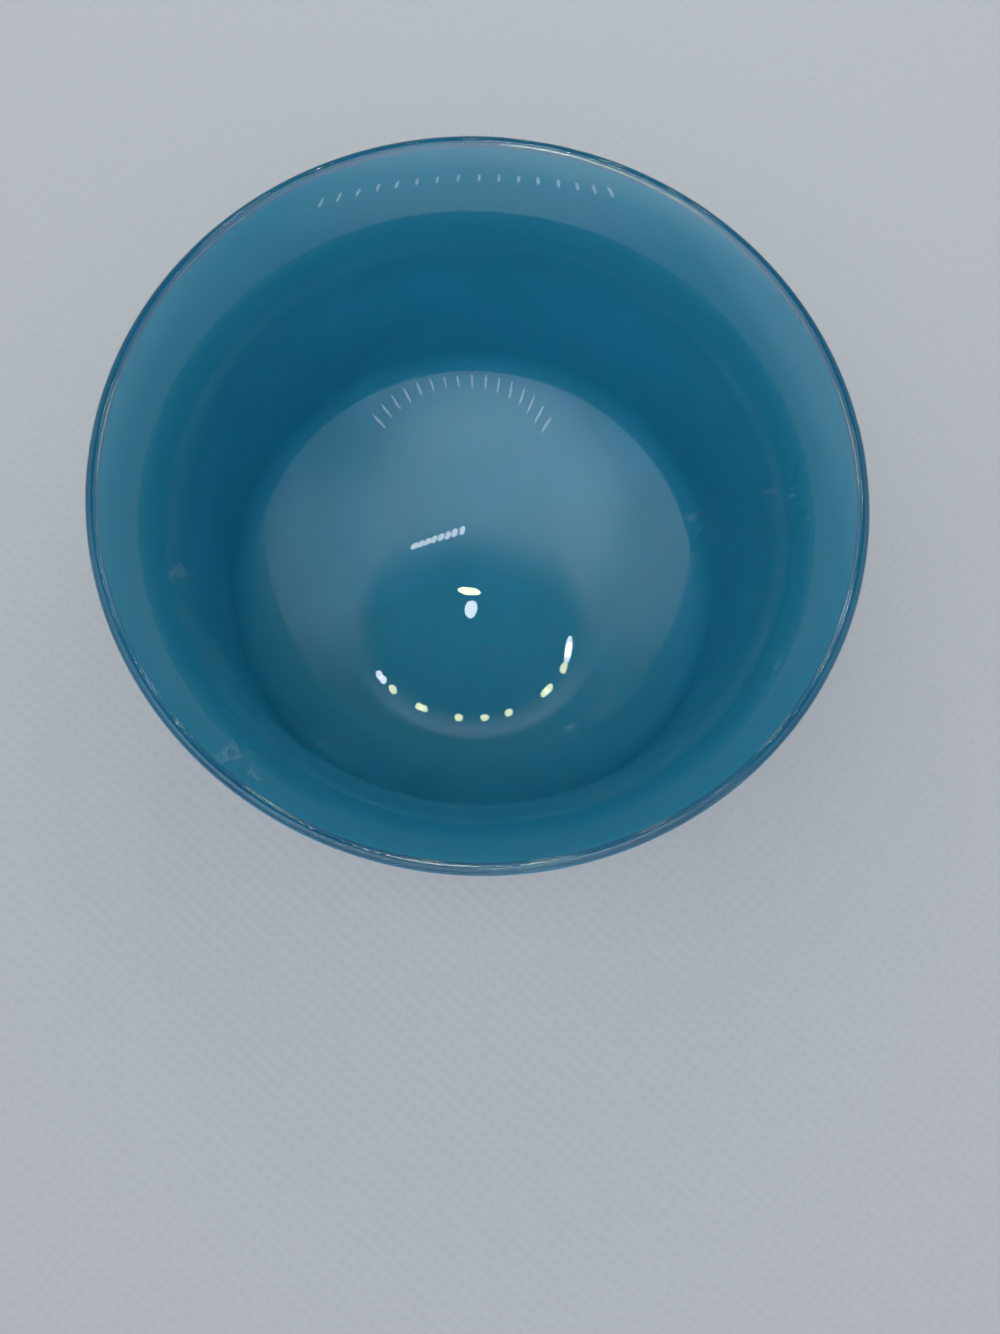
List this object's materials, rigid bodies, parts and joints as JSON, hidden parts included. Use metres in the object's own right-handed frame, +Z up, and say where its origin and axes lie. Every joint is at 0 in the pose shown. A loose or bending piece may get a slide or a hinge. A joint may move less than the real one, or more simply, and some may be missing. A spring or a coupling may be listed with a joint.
{
  "type": "cased glass crystallizing dish",
  "caption": "Round dish of clear glass cased on the outside in opaque blue glass, with a flared mouth, a rounded lip, a rounded bottom and a flat foot ring; holds a liquid or small things.",
  "frame": {"origin": "centre of the circle on which the foot ring stands, at table height", "axes": "+Z up along the dish's axis of rotation; X and Y are any two directions across it"},
  "size_m": [0.14, 0.14, 0.083],
  "materials": {
    "clear_glass": "colourless, fire-polished",
    "blue_glass": "opaque petrol blue, glossy"
  },
  "bodies": {
    "root": {"clear_glass_layer": "clear_glass", "blue_glass_layer": "blue_glass"}
  },
  "joints": []
}
